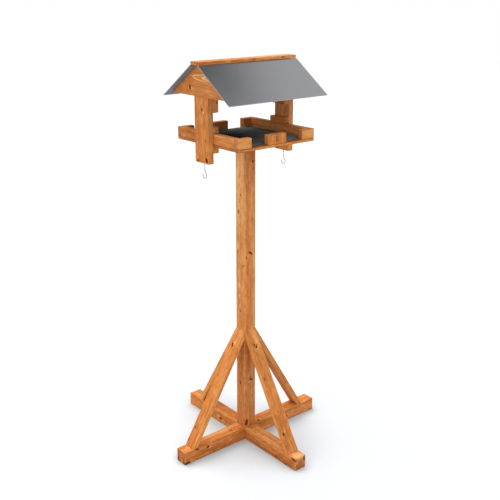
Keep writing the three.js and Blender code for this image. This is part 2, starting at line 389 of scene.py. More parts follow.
def add_arches(tree, place, pith, turn, arches):
    """Adds pale arches. Each is a tip, the way it opens along the grain (1 or -1), its width (all in
    millimetres) and its strength."""
    pale = None
    for spot, opens, width, strength in arches:
        tip = turn.inverted() @ (in_metres(*spot) - pith)
        away = add_node(tree, "VectorMath", {0: place, 1: tip}, operation="SUBTRACT")
        along = add_node(tree, "SeparateXYZ", {0: away})
        aside = add_node(tree, "VectorMath", {0: away, 1: (0, 1, 1)}, operation="MULTIPLY")
        square = add_node(tree, "VectorMath", {0: aside, 1: aside}, operation="DOT_PRODUCT")
        bow = add_node(tree, "Math", {0: square, 1: 1 / (width * MM)}, operation="MULTIPLY")
        inside = add_node(tree, "Math", {0: along, 1: -opens, 2: bow}, operation="MULTIPLY_ADD")
        slope = 4 / (width * MM) ** 2
        steep = add_node(tree, "Math", {0: square, 1: slope, 2: 1.0}, operation="MULTIPLY_ADD")
        steep = add_node(tree, "Math", {0: steep}, operation="SQRT")
        off = add_node(tree, "Math", {0: inside, 1: steep}, operation="DIVIDE")
        off = add_node(tree, "Math", {0: off}, operation="ABSOLUTE")
        line = add_node(tree, "MapRange", {"Value": off, RAMP: (*ARCH_LINE, strength, 0.0)}, **SMOOTH)
        arm = add_node(tree, "Math", {0: along, 1: opens}, operation="MULTIPLY")
        faded = add_node(tree, "MapRange", {"Value": arm, RAMP: ARCH_FADE})
        line = add_node(tree, "Math", {0: line, 1: faded}, operation="MULTIPLY")
        pale = add_node(tree, "Math", {0: pale, 1: line}, operation="MAXIMUM") if pale else line
    return pale


print("arches ready")

# %% [markdown]
# Wood, step 4: year rings
#
# Softwood grows a wide pale band in spring and a thin dark line in late summer, some 3 to 6 mm a year. The
# distance from the pith, divided by the ring's width, counts the years; the fraction of that count says
# where in the year the wood is. A slow rise and a quick fall at the end of the year draw the line. Years
# differ, so one noise stretches some of them and another makes some of their lines fainter.

# %% Year rings
RING_WIDTH = 6.0 * MM
GROWTH_CHANGE = 0.45
GROWTH_YEARS = 1.6
LINE_RISE = (0.3, 0.86)
LINE_FALL = (0.88, 1.0, 1.0, 0.0)
FAINT_TO_RICH = (0.0, 1.0, 0.35, 1.0)


def year_rings(tree, place, swell, seed):
    """How much late wood there is at a place, 0 to 1."""
    across = add_node(tree, "VectorMath", {0: place, 1: (0, 1, 1)}, operation="MULTIPLY")
    radius = add_node(tree, "VectorMath", {0: across}, operation="LENGTH")
    pushed = add_node(tree, "Math", {0: radius, 1: swell}, operation="SUBTRACT") if swell else radius
    years = add_node(tree, "Math", {0: pushed, 1: 1 / RING_WIDTH}, operation="MULTIPLY")
    growth = add_node(tree, "TexNoise", {"W": years, "Scale": GROWTH_CHANGE, "Detail": 0.0},
                      noise_dimensions="1D")
    uneven = add_node(tree, "Math", {0: growth, 1: GROWTH_YEARS, 2: years}, operation="MULTIPLY_ADD")
    count = add_node(tree, "Math", {0: uneven, 1: seed}, operation="ADD")
    season = add_node(tree, "Math", {0: count}, operation="FRACT")
    rise = add_node(tree, "MapRange", {"Value": season, RAMP: LINE_RISE}, **SMOOTH)
    fall = add_node(tree, "MapRange", {"Value": season, RAMP: LINE_FALL}, **SMOOTH)
    line = add_node(tree, "Math", {0: rise, 1: fall}, operation="MULTIPLY")
    year = add_node(tree, "Math", {0: count}, operation="FLOOR")
    rich = add_node(tree, "TexWhiteNoise", {"W": year}, noise_dimensions="1D")
    strength = add_node(tree, "MapRange", {"Value": rich, RAMP: FAINT_TO_RICH})
    return add_node(tree, "Math", {0: line, 1: strength}, operation="MULTIPLY")


print("ring width", RING_WIDTH / MM, "mm")

# %% [markdown]
# Wood, step 5: edges, ends and joints
#
# Stain rubs thin along edges, and sinks in deep where the saw cut across the fibres. The distance to an
# edge could be found with a Bevel node, but that is slow, so it is worked out: inside a squared plank the
# distances to the three pairs of faces are known, the smallest is nearly zero on any face, and the middle
# one is the distance to the nearest edge. An end is where the surface looks along the grain. Stain and dirt
# also gather in the thin joints where boards lie on each other, and shade falls into them, so a dark line is
# drawn at their height: partly dirt, and partly painted shade.

# %% Edge wear, end grain and joints
END_TURN = (0.75, 0.95)
# A joint's dark line is dirt, and painted shade where the boards meet.
JOINT_LINE = (0.5 * MM, 2.4 * MM, 0.5, 0.0)
JOINT_DIRT_AND_SHADE = "#6E3818"


def edge_nearness(tree, stock, reach):
    """1 on the edges of a squared plank, falling to 0 over the reach, in millimetres."""
    centre, turn, half = stock
    place = add_node(tree, "TexCoord").outputs["Object"]
    local = add_node(tree, "Mapping", {"Vector": place, "Location": centre, "Rotation": turn},
                     vector_type="TEXTURE")
    positive = add_node(tree, "VectorMath", {0: local}, operation="ABSOLUTE")
    inside = add_node(tree, "VectorMath", {0: half, 1: positive}, operation="SUBTRACT")
    x, y, z = add_node(tree, "SeparateXYZ", {0: inside}).outputs
    low_xy = add_node(tree, "Math", {0: x, 1: y}, operation="MINIMUM")
    high_xy = add_node(tree, "Math", {0: x, 1: y}, operation="MAXIMUM")
    other = add_node(tree, "Math", {0: high_xy, 1: z}, operation="MINIMUM")
    middle = add_node(tree, "Math", {0: low_xy, 1: other}, operation="MAXIMUM")
    return add_node(tree, "MapRange", {"Value": middle, RAMP: (0.0, reach * MM, 1.0, 0.0)}, **SMOOTH)


def end_grain(tree, grain):
    """1 where the surface was cut across the fibres, 0 along them."""
    facing = add_node(tree, "TexCoord").outputs["Normal"]
    along = add_node(tree, "VectorMath", {0: facing, 1: Vector(grain).normalized()}, operation="DOT_PRODUCT")
    either = add_node(tree, "Math", {0: along}, operation="ABSOLUTE")
    return add_node(tree, "MapRange", {"Value": either, RAMP: END_TURN})


def add_joints(tree, colour, joints):
    """Darkens the wood at the heights, in millimetres, where it meets another board: dirt and painted shade.
    """
    place = add_node(tree, "TexCoord").outputs["Object"]
    height = add_node(tree, "SeparateXYZ", {0: place}).outputs["Z"]
    for joint in joints:
        off = add_node(tree, "Math", {0: height, 1: joint * MM}, operation="SUBTRACT")
        off = add_node(tree, "Math", {0: off}, operation="ABSOLUTE")
        near = add_node(tree, "MapRange", {"Value": off, RAMP: JOINT_LINE}, **SMOOTH)
        colour = add_node(tree, "Mix", {"Factor": near, "A": colour, "B": linear(JOINT_DIRT_AND_SHADE)}, **COLOURS)
    return colour


print("edges, ends and joints ready")

# %% [markdown]
# Wood, step 6: the stain's layers
#
# The stain is see-through, so the wood's own light and dark show in it. Broad streaks run from honey to
# deep orange, some of them redder, the late wood is browner, and fine fibres break it all up. A real fibre
# is too fine to show, so it is drawn about 1 mm wide. Each of these is a noise or a mask, and the stain
# takes them up one after the other: every layer mixes its colour over the last by as much as its ramp says.
# A table holds the layers, so that their order can be read at a glance.

# %% The stain's colours and layers
PALE_FLAME = "#FACB8A"
HONEY = "#F6B672"
ORANGE = "#EA954D"
DEEP_ORANGE = "#C6793C"
RED_STREAK = "#D0783C"
LATE_WOOD = "#9A5428"
KNOT_RING_AND_PAINTED_SHADE = "#8C4614"
KNOT_HEART = "#561E00"
THIN_STAIN_AND_PAINTED_LIGHT = "#F8B577"
WORN_EDGE = "#EFAE64"
END_STAIN = "#8A4A38"

# The stain's noises: the length and width of their waves in millimetres, what each adds to the piece's seed,
# and its detail. Those in the second table bend with the trunk.
STRAIGHT_NOISES = {"broad": (420, 26, 3, 3.0), "warm": (260, 34, 5, 2.0), "fibre": (34, 1.1, 7, 3.0),
                   "mottle": (26, 12, 13, 3.0)}
BENT_NOISES = {"streak": (110, 6.0, 9, 4.0), "fleck": (15, 3.6, 11, 3.0)}

# The layers from the ground up: a colour, what it follows, where that begins and ends, and the most of it.
LAYERS = [
    (ORANGE, "broad", 0.36, 0.66, 1.0), (HONEY, "broad", 0.52, 0.78, 1.0),
    (RED_STREAK, "warm", 0.5, 0.72, 0.5), (END_STAIN, "end", 0, 1, 0.68),
    # Patches darken and lighten the wood: some by stain, some as painted shade and painted light.
    (KNOT_RING_AND_PAINTED_SHADE, "patch", 0, 1, 1.0), (THIN_STAIN_AND_PAINTED_LIGHT, "patch", 0, -1, 1.0),
    (LATE_WOOD, "streak", 0.48, 0.33, 0.4), (HONEY, "streak", 0.53, 0.67, 0.4),
    (LATE_WOOD, "late", 0, 1, 0.42), (LATE_WOOD, "mottle", 0.48, 0.3, 0.33),
    (HONEY, "mottle", 0.52, 0.7, 0.45), (DEEP_ORANGE, "fibre", 0.42, 0.66, 0.3),
    (LATE_WOOD, "fleck", 0.54, 0.7, 0.65), (PALE_FLAME, "shade", 0, -1, 0.9),
    (KNOT_RING_AND_PAINTED_SHADE, "shade", 0, 0.5, 0.8), (KNOT_HEART, "shade", 0.4, 1, 1.0), (PALE_FLAME, "arch", 0, 1, 1.0)]
# The grain's own layers grow fainter with a piece's figure, and the broad streaks shift with its tone.
FIGURED = ("streak", "late", "mottle", "fleck")
TONE_SHIFT = 0.2


def stain_colour(tree, follows, tone, figure):
    """The stain, layer by layer. A higher tone is lighter, and a lower figure makes the grain fainter."""
    colour = linear(DEEP_ORANGE)
    for stain, name, begins, ends, most in LAYERS:
        if follows[name]:
            shift = TONE_SHIFT * tone if name == "broad" else 0
            share = most * figure if name in FIGURED else most
            ramp = (begins - shift, ends - shift, 0.0, share)
            amount = add_node(tree, "MapRange", {"Value": follows[name], RAMP: ramp})
            colour = add_node(tree, "Mix", {"Factor": amount, "A": colour, "B": linear(stain)}, **COLOURS)
    return colour


print("stain layers:", len(LAYERS), "over", DEEP_ORANGE)

# %% [markdown]
# Wood, step 7: the finished wood
#
# A trunk is never straight. Its whole grain bends slowly, single rings waver on top of that, and knots have
# frayed outlines, so the coordinates are shifted by three noises before anything is drawn. The stain leaves
# a satin face with hardly any gloss in this soft light, so the reflection is set low. The bump is small,
# since the wood was planed: late wood stands a tenth of a millimetre proud.

# %% Stained softwood
BEND, BEND_REACH = (520, 95), 15
WAVER, WAVER_REACH = (55, 15), 3.4
FRAY, FRAY_REACH, FRAY_DETAIL = (8, 5), 10, 3.0
WEAR_REACH = 2.4
WEAR = (0.45, 0.65, 0.0, 0.3)
WOOD_ROUGHNESS = (0.3, 0.7, 0.44, 0.58)
WOOD_GLOSS = 0.04
FIBRE_RELIEF = 0.5
WOOD_BUMP = {"Strength": 0.5, "Distance": 0.12 * MM}


def stained_softwood(name, grain, pith, stock, seed, marks=(), patches=(), arches=(), tone=0.0, figure=1.0,
                     end_depth=1.0, joints=()):
    """Planed softwood under a satin stain, cut from its own trunk."""
    material, tree, shader = new_material(name)
    trunk, turn = trunk_coordinates(tree, grain, pith)
    bent = shifted(tree, trunk, drawn_noise(tree, trunk, *BEND, seed), BEND_REACH)
    wavy = shifted(tree, bent, drawn_noise(tree, trunk, *WAVER, seed + 1), WAVER_REACH)
    frayed = shifted(tree, trunk, drawn_noise(tree, trunk, *FRAY, seed + 2, FRAY_DETAIL), FRAY_REACH)
    shade, swell = add_marks(tree, frayed, pith, turn, marks)
    late = year_rings(tree, wavy, swell, seed)
    end = add_node(tree, "Math", {0: end_grain(tree, grain), 1: end_depth}, operation="MULTIPLY")
    follows = {"shade": shade, "late": late, "end": end,
               "patch": add_patches(tree, bent, pith, turn, patches),
               "arch": add_arches(tree, wavy, pith, turn, arches)}
    for place, noises in ((trunk, STRAIGHT_NOISES), (bent, BENT_NOISES)):
        for noise, (along, across, step, detail) in noises.items():
            follows[noise] = drawn_noise(tree, place, along, across, seed + step, detail)
    colour = stain_colour(tree, follows, tone, figure)
    thin = add_node(tree, "MapRange", {"Value": follows["warm"], RAMP: WEAR})
    edge = edge_nearness(tree, stock, WEAR_REACH)
    rubbed = add_node(tree, "Math", {0: edge, 1: thin}, operation="MULTIPLY")
    colour = add_node(tree, "Mix", {"Factor": rubbed, "A": colour, "B": linear(WORN_EDGE)}, **COLOURS)
    dull = add_node(tree, "MapRange", {"Value": follows["fibre"], RAMP: WOOD_ROUGHNESS})
    relief = add_node(tree, "Math", {0: follows["fibre"], 1: FIBRE_RELIEF, 2: late},
                      operation="MULTIPLY_ADD")
    set_inputs(tree, shader, {
        "Base Color": add_joints(tree, colour, joints), "Roughness": dull, "Specular IOR Level": WOOD_GLOSS,
        "Normal": add_node(tree, "Bump", {"Height": relief, **WOOD_BUMP})})
    return material


print("stained softwood ready")

# %% [markdown]
# Shaping a plank
#
# Every wooden piece is planed stock, sawn to length and rubbed over with paper, so its edges are round by
# about a millimetre. A cube pulled to size and bevelled does for squared pieces. A piece with an outline of
# its own, such as a gable, is drawn flat as one face and pulled out to its thickness. Either way the bevel
# comes last.

# %% Squared stock and sawn outlines
EASED_STEPS = 3


def ease(shape, edges, radius):
    """Rounds edges of a shape, as sandpaper does, in millimetres."""
    bmesh.ops.bevel(shape, geom=edges, offset=radius * MM, offset_type="OFFSET", segments=EASED_STEPS,
                    profile=0.5, affect="EDGES", material=-1, clamp_overlap=True)


def squared(node, radius):
    """Squared stock as big as the CAD solid of this name, its edges eased."""
    low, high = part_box(node)
    shape = bmesh.new()
    bmesh.ops.create_cube(shape, size=1.0)
    bmesh.ops.scale(shape, verts=shape.verts, vec=high - low)
    bmesh.ops.translate(shape, verts=shape.verts, vec=(low + high) / 2)
    ease(shape, shape.edges[:], radius)
    return shape


def sawn(outline, axis, low, high, radius):
    """A plank sawn to an outline, whose points lie across the axis, and as thick as from low to high."""
    shape = bmesh.new()
    number = "XYZ".index(axis)
    corners = [shape.verts.new([*point[:number], low, *point[number:]]) for point in outline]
    pulled = bmesh.ops.extrude_face_region(shape, geom=[shape.faces.new(corners)])
    moved = [part for part in pulled["geom"] if isinstance(part, bmesh.types.BMVert)]
    step = [high - low if i == number else 0 for i in range(3)]
    bmesh.ops.translate(shape, verts=moved, vec=step)
    bmesh.ops.recalc_face_normals(shape, faces=shape.faces)
    ease(shape, shape.edges[:], radius)
    return shape


print("plank shapes ready")

# %% [markdown]
# Fitting a piece
#
# A finished shape becomes an object at the origin, with its place in its mesh. It takes the place of the
# CAD solid it stands for, and rides on the same body.

# %% Fit a piece in the place of a CAD solid
WELD = 0.001 * MM


def fit_piece(name, shape, materials, node, body="table"):
    """Makes an object of a shape, in the place of a CAD solid."""
    bmesh.ops.remove_doubles(shape, verts=shape.verts, dist=WELD)
    bmesh.ops.recalc_face_normals(shape, faces=shape.faces)
    piece = mesh_object(name, shape, materials)
    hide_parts(node)
    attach(piece, body)


def stock_of(node):
    """A CAD solid's box as its centre, its turn and half its size."""
    low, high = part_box(node)
    return (low + high) / 2, Euler((0, 0, 0)), (high - low) / 2


def wooden(node, shape, grain, pith, seed, marks=(), stock=None, **finish):
    """A wooden piece, cut from a trunk whose pith lies this far from its middle, in millimetres."""
    stock = stock or stock_of(node)
    pith = stock[0] + in_metres(*pith)
    wood = stained_softwood("stained_" + node, grain, pith, stock, seed, marks, **finish)
    fit_piece(node + "_wood", shape, [wood], node)


print("fitting ready")

# %% [markdown]
# The feet
#
# Two beams of 50 mm stock lie across each other on the floor, each halved so that they end flush. The
# crossing is a little off their middle, as the picture shows. The halving is part of the outline: eight
# corners instead of four. The end grain shows at the near ends, darker and redder than the sides.

# %% Foot beams
LAP = 25.3 * MM
LAP_FLOOR = 24.85 * MM
LAP_ROOF = 25.15 * MM
FOOT_EASE = 1.6

low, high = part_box("foot_beam_lower")
outline = [(low.x, low.z), (high.x, low.z), (high.x, high.z), (LAP, high.z), (LAP, LAP_FLOOR),
           (-LAP, LAP_FLOOR), (-LAP, high.z), (low.x, high.z)]
lower_marks = [
    ((-79, -6, 50), 4.5, 1.2, 1.0), ((-100, 4, 50), 4.5, 4.0, -0.35), ((-205, -25, 37), 5.5, 1.5, 0.7),
    ((-196, -25, 31), 3.5, 1.5, -0.8), ((51, -17, 50), 5.0, 1.2, 1.0), ((60, -12, 50), 3.5, 1.8, -0.7),
    # The marks at (-311, 21, 9), (-311, 6, 2) and (-311, -17, 4) darken the bottom of the near end.
    ((-311, 21, 9), 10.0, 1.0, 0.7), ((190, -25, 20), 5.0, 1.6, 0.5), ((-300, -25, 4), 8.5, 1.4, 0.75),
    ((-256, -25, 45), 5.0, 1.5, 0.75), ((-311, 6, 2), 6.0, 1.0, 0.5), ((-311, -17, 4), 8.0, 1.0, 0.75)]
lower_patches = [((-150, 12, 54), 15, 5.0, -0.75), ((-285, 8, 54), 14, 1.6, 0.15),
                 ((-220, -42, 6), 48, 4.0, 0.6), ((190, -40, 22), 42, 4.0, -0.25)]
wooden("foot_beam_lower", sawn(outline, "Y", low.y, high.y, FOOT_EASE), grain=(1, 0.012, 0.02),
       pith=(0, 12, -34), seed=11.3, marks=lower_marks, patches=lower_patches)

low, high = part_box("foot_beam_upper")
outline = [(low.y, high.z), (low.y, low.z), (-LAP, low.z), (-LAP, LAP_ROOF), (LAP, LAP_ROOF), (LAP, low.z),
           (high.y, low.z), (high.y, high.z)]
upper_marks = [
    ((-25, 131, 21), 6.0, 1.4, 0.9), ((-25, 145, 26), 4.0, 2.0, -0.6), ((-25, -206, 12), 4.0, 1.5, 0.7),
    ((-25, -259, 2), 4.5, 1.4, 0.8), ((-25, -300, 44), 6.5, 1.6, 0.8), ((-25, -311, 40), 5.0, 1.2, 0.6),
    ((25, 60, 30), 6.0, 1.4, 0.8), ((0, -303, 62), 27, 0.9, -0.55), ((22, -311, 38), 8.0, 1.0, 0.7),
    ((25, -311, 28), 5.0, 1.0, 0.4)]
upper_patches = [((-42, -215, 6), 48, 5.0, 0.78), ((-40, -80, 8), 34, 2.0, 0.25),
                 ((0, -150, 56), 22, 6.0, -0.3), ((-40, 170, 20), 42, 4.0, 0.08),
                 ((0, 310, 58), 24, 2.0, -0.4)]
wooden("foot_beam_upper", sawn(outline, "X", low.x, high.x, FOOT_EASE), grain=(-0.015, 1, 0.01),
       pith=(30, 0, -12), seed=27.1, marks=upper_marks, patches=upper_patches, end_depth=0.8)

# %% [markdown]
# The post
#
# One length of 50 mm stock stands on the crossing. Its two faces towards the camera carry most of the
# table's knots, and a row of light flames runs down the left one. Their places were read off the picture,
# and each lies on the face that carries it. The flames vary in size and strength by turns.

# %% Post
POST_EASE = 1.0
FLAMES = [(13.8, 1057), (12, 985), (13.6, 779), (11, 733), (11.5, 683), (7.7, 633), (6, 590), (3.6, 551)]
FLAME_RADIUS, RADIUS_STEP = 2.6, 0.6
FLAME_STRETCH, STRETCH_STEP = 3.4, -0.7
FLAME_DEPTH, DEPTH_STEP = -0.5, -0.12

post_marks = [
    ((13, -25, 1098), 4.2, 1.3, 0.8), ((14.5, -25, 1070), 1.6, 8.0, 0.6), ((-25, -2.5, 977), 3.8, 1.2, 0.7),
    ((-25, 9, 914), 6.0, 1.4, 0.42), ((-25, 4, 926), 5.0, 1.6, -0.3), ((12, -25, 887), 2.2, 2.5, 0.6),
    ((-4, -25, 764), 3.4, 1.2, 1.0), ((2, -25, 760), 4.2, 1.1, 1.0), ((8, -25, 756), 3.4, 1.2, 0.9),
    ((-9, -25, 751), 5.0, 1.4, -0.35), ((-17, -25, 746), 2.8, 1.4, 0.6), ((-25, -16, 714), 4.2, 1.2, 0.6),
    ((-25, 1, 531), 3.2, 1.8, 0.5), ((2, -25, 252), 3.2, 1.2, 0.8), ((8, -25, 248), 4.0, 1.2, 0.8),
    ((-4, -25, 240), 4.5, 1.4, -0.6), ((-25, 2, 234), 5.0, 1.4, 0.55), ((-18, -25, 70), 7.5, 1.9, 0.75),
    # These two lighten the left face just under the tray: painted light where the tray's shade falls.
    ((-25, 13, 1074), 7.0, 9.0, -0.5), ((-25, -8, 1098), 11, 4.0, -0.4)]
for i, (y, z) in enumerate(FLAMES):
    radius = FLAME_RADIUS + RADIUS_STEP * (i % 3)
    stretch = FLAME_STRETCH + STRETCH_STEP * (i % 2)
    post_marks.append(((-25, y, z), radius, stretch, FLAME_DEPTH + DEPTH_STEP * (i % 3)))
# Some patches are painted light and shade: those at (-34, 10, 1115) and (-33, -18, 1085) lighten the left
# face under the tray, the one at (-4, -33, 1118) paints the tray's shadow on the front face, and those at
# (0, -34, 200) and (-34, 0, 180) lighten the post low down, where the braces' shade falls.
post_patches_and_painted_light = [
    ((-34, 10, 1115), 34, 4.5, -1.0), ((-34, 4, 930), 34, 4.5, -0.8), ((-34, 4, 590), 32, 5.0, -0.35),
    ((-33, -18, 1085), 18, 7.0, -0.7), ((-29, -26, 820), 16, 20.0, -0.32), ((14, -30, 900), 14, 22.0, 0.22),
    ((-4, -33, 1118), 24, 1.4, 0.65), ((-34, 0, 740), 30, 3.0, -0.1), ((10, -27, 700), 25, 12.0, -0.12),
    ((0, -34, 200), 36, 5.0, -0.3), ((-34, 0, 180), 34, 4.0, -0.1), ((-28, 26, 950), 12, 22.0, -0.6),
    ((-36, -4, 757), 26, 2.0, -0.42)]
wooden("post", squared("post", POST_EASE), grain=(0.006, -0.01, 1), pith=(-6, 12, 0), seed=3.7,
       marks=post_marks, patches=post_patches_and_painted_light, figure=0.85)
print("post marks:", len(post_marks), "patches:", len(post_patches_and_painted_light))

# %% [markdown]
# The braces
#
# Four planks run from the feet up to the post, mitred at both ends so that they lie flat on foot and post.
# One outline serves all: it is pulled out for the arm that runs along +X, and the shape is then turned
# round the post. The grain turns with it.

# %% Braces
FOOT_TOP, POST_FACE = 50.3, 25.3
REACH_BELOW, REACH_ABOVE = 251.8, 274.0
RISE_BELOW, RISE_ABOVE = 425.25, 462.0
BRACE_OUTLINE = [in_metres(REACH_BELOW, FOOT_TOP), in_metres(REACH_ABOVE, FOOT_TOP),
                 in_metres(POST_FACE, RISE_ABOVE), in_metres(POST_FACE, RISE_BELOW)]
BRACE_SLOPE = math.atan2(RISE_ABOVE - FOOT_TOP, REACH_ABOVE - POST_FACE)
BRACE_HALF = in_metres(260, 24, 9.5)
BRACE_EASE = 1.4
BRACE_LEAN = 0.01
BRACE_PITH, PITH_STEP = Vector((-14, 6, -10)), Vector((0, -4, 0))
BRACE_SEED, BRACE_SEED_STEP = 41.9, 13.7

brace_middle = sum((Vector((point.x, 0, point.y)) for point in BRACE_OUTLINE), Vector()) / 4
brace_marks = {
    "left": [((-59, 7, 406), 3.8, 1.3, 1.0), ((-63, 3, 400), 4.2, 1.3, 1.0),
             ((-55, -3, 412), 4.2, 1.8, -0.6), ((-125, 13, 297), 3.0, 1.6, 0.4),
             ((-235, 13, 115), 3.8, 1.4, 0.8), ((-231, 18, 122), 2.8, 1.4, -0.5),
             ((-262, 21, 71), 4.0, 1.5, 0.9)],
    "front": [((-6, -57, 409), 3.2, 1.2, 1.0), ((5, -58, 407), 3.4, 1.2, 1.0),
              ((0, -62, 401), 3.8, 1.2, 1.0), ((-10, -67, 393), 4.5, 1.8, -0.25),
              ((9, -52, 417), 4.5, 2.2, -0.5), ((-14, -125, 296), 4.0, 1.8, 0.45),
              ((-16, -236, 114), 5.0, 1.4, 0.85), ((-8, -231, 122), 3.5, 1.6, -0.4),
              ((-24, -261, 75), 3.5, 2.0, 0.9)],
    "right": [((220, -20, 150), 4.0, 1.5, 0.6)],
    "back": [((20, 200, 180), 4.5, 1.5, 0.7)]}
brace_patches = {
    "left": [((-46, -14, 427), 14, 3.5, -0.5), ((-110, 0, 322), 22, 5.0, -0.08),
             ((-205, -14, 170), 14, 4.0, 0.16)],
    "front": [((10, -50, 420), 13, 2.5, -0.3), ((0, -90, 355), 30, 4.0, 0.32),
              ((-6, -236, 120), 26, 4.0, 0.3), ((-27, -170, 220), 8, 14.0, -0.2)],
    "right": [((127, 0, 231), 30, 11.0, 0.5)],
    "back": []}

for quarter, side in enumerate(("right", "back", "left", "front")):
    turn = Matrix.Rotation(quarter * math.pi / 2, 3, "Z")
    shape = sawn(BRACE_OUTLINE, "Y", -BRACE_HALF.y, BRACE_HALF.y, BRACE_EASE)
    bmesh.ops.rotate(shape, verts=shape.verts, cent=(0, 0, 0), matrix=turn)
    lean = turn @ Matrix.Rotation(-(math.pi - BRACE_SLOPE), 3, "Y").inverted()
    stock = (turn @ brace_middle, lean.to_euler(), BRACE_HALF)
    grain = turn @ Vector((-math.cos(BRACE_SLOPE), BRACE_LEAN, math.sin(BRACE_SLOPE)))
    wooden("brace_" + side, shape, grain, pith=turn @ (BRACE_PITH + PITH_STEP * quarter),
           seed=BRACE_SEED + BRACE_SEED_STEP * quarter, marks=brace_marks[side], stock=stock,
           patches=brace_patches[side], figure=0.85)
print("brace slope", round(math.degrees(BRACE_SLOPE), 1), "degrees")

# %% [markdown]
# The tray's board
#
# The board has countersunk holes for the screws that hold it on the post. Cutting those again would be work
# for nothing: the CAD solid has them. A copy of its mesh is merged, because a CAD mesh is loose triangles,
# and its flat triangles are joined. Then only the long outer edges are eased, and the holes stay sharp.

# %% Tray board from a copy of the CAD mesh
NEARLY_SQUARE = 1.5
NEARLY_FLAT = math.radians(1)
FAR_FROM_HOLES = 100 * MM
BOARD_EASE = 0.9
BOARD_JOINTS = (1171.6, 1180.6)


def merged_copy(node):
    """A copy of a CAD solid's mesh with its triangles joined."""
    shape = bmesh.new()
    shape.from_mesh(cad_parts[node].data)
    bmesh.ops.remove_doubles(shape, verts=shape.verts, dist=WELD)
    bmesh.ops.dissolve_limit(shape, angle_limit=NEARLY_FLAT, verts=shape.verts, edges=shape.edges)
    return shape


board = merged_copy("tray_board")
sharp = [e for e in board.edges if e.calc_face_angle(0) > NEARLY_SQUARE
         and (e.calc_length() > FAR_FROM_HOLES or abs(e.verts[0].co.x) > FAR_FROM_HOLES)]
ease(board, sharp, BOARD_EASE)
wooden("tray_board", board, grain=(1, 0.02, 0.004), pith=(0, 30, -40), seed=61.3,
       marks=[((90, -160, 1180), 6, 1.5, 0.5)], tone=-0.1, joints=BOARD_JOINTS)
print("board edges eased:", len(sharp))

# %% [markdown]
# Rails and blocks
#
# One stock, 22 by 34 mm, makes the low rim: a long rail on each end, and three short blocks front and back
# with gaps between them. The corner blocks reach to the outside, so their end grain shows beside the rails.
# The middle blocks show upright streaks, so their grain runs up.

# %% Rails and blocks round the tray
RIM_EASE = 1.3
RIM_SEED, RIM_SEED_STEP = 71.7, 9.3
RIM_JOINTS = (1180.9,)
UPRIGHT_END, LEVEL_END = 0.2, 1.0
# Each piece's grain, its pith's place and its marks.
RIM = {
    "rail_left": ((0.02, 1, 0.01), (14, 0, -20), [((-168, 100, 1205), 4, 1.4, 0.4)]),
    "rail_right": ((-0.01, 1, 0.02), (-20, 0, -16), []),
    "front_corner_left": ((1, 0.02, 0.03), (0, 18, -22), []),
    "front_centre": ((0.02, 0.05, 1), (-6, 16, 0), [((-3, -168, 1198), 5, 2.6, 0.35)]),
    "front_corner_right": ((1, -0.02, 0.04), (0, 26, 4), []),
    "back_corner_left": ((1, 0.03, 0.02), (0, -20, 18), []),
    "back_centre": ((0.03, 0.02, 1), (12, -20, 0), []),
    "back_corner_right": ((1, 0.01, -0.03), (0, -24, -12), [])}
rim_patches = {
    "rail_left": [((-176, 64, 1200), 36, 3.6, 0.62), ((-176, -110, 1200), 36, 2.0, 0.26)],
    "rail_right": [((140, 60, 1200), 40, 2.5, 0.1), ((140, 120, 1200), 30, 2.0, 0.3)],
    "front_corner_left": [((-140, -176, 1200), 30, 3.0, -0.35)],
    "front_corner_right": [((140, -176, 1200), 30, 3.0, -0.2)],
    "back_centre": [((0, 140, 1200), 40, 1.5, 0.2)]}
for i, (node, (grain, pith, marks)) in enumerate(RIM.items()):
    wooden(node, squared(node, RIM_EASE), grain, pith, RIM_SEED + RIM_SEED_STEP * i, marks,
           patches=rim_patches.get(node, ()), figure=0.75, joints=RIM_JOINTS,
           end_depth=UPRIGHT_END if grain[2] == 1 else LEVEL_END)
print("rim pieces:", len(RIM))

# %% [markdown]
# Rubber
#
# The mat is black rubber sheet with a fine grained face. Rubber is dark and dull, and it has no gloss left
# once it has lain outdoors. Pale dust lies on it, and where it lies paints light and shade: there is least
# on the left, which paints the shade under the roof there, and more towards the right, which paints the
# light and sheen that reach the mat there. Grains of about 1.6 mm make its bump, coarser than real ones so
# that they show, and two noises break up the dust. Its clouded ground serves the metals further down too,
# so it is a function of its own: a colour and a roughness that drift between two values.

# %% The mat's rubber
CLOUD_RANGE, CLOUD_DETAIL = (0.3, 0.7), 3.0
GRAIN_SIZE = 1.6
SPECK_SIZE = 2.2
DUST_CLOUDS = (0.35, 0.65, 0.7, 1.0)
DUST_SPECKS = (0.3, 0.7, 0.75, 1.0)
# Painted shade and light: no dust round this spot on the left, full dust this far off towards the right.
SWEPT_SHADED_SPOT = in_metres(-60, 30, 0)
SWEPT_SHADED_OVAL = (1.0, 0.6, 0.0)
SHADED_TO_DUSTY_AND_LIT = (5 * MM, 160 * MM)
MAT_EASE = 0.8


def clouded_finish(name, size, colours, roughness):
    """A finish whose colour and roughness drift between two values, in clouds this wide in millimetres."""
    material, tree, shader = new_material(name)
    place = add_node(tree, "TexCoord").outputs["Object"]
    cloud = add_node(tree, "TexNoise", {"Vector": place, "Scale": 1 / (size * MM), "Detail": CLOUD_DETAIL})
    dark, light = map(linear, colours)
    tint = add_node(tree, "Mix", {"Factor": cloud, "A": dark, "B": light}, **COLOURS)
    dull = add_node(tree, "MapRange", {"Value": cloud, RAMP: (*CLOUD_RANGE, *roughness)})
    set_inputs(tree, shader, {"Base Color": tint, "Roughness": dull})
    return material, tree, shader, place, tint, cloud


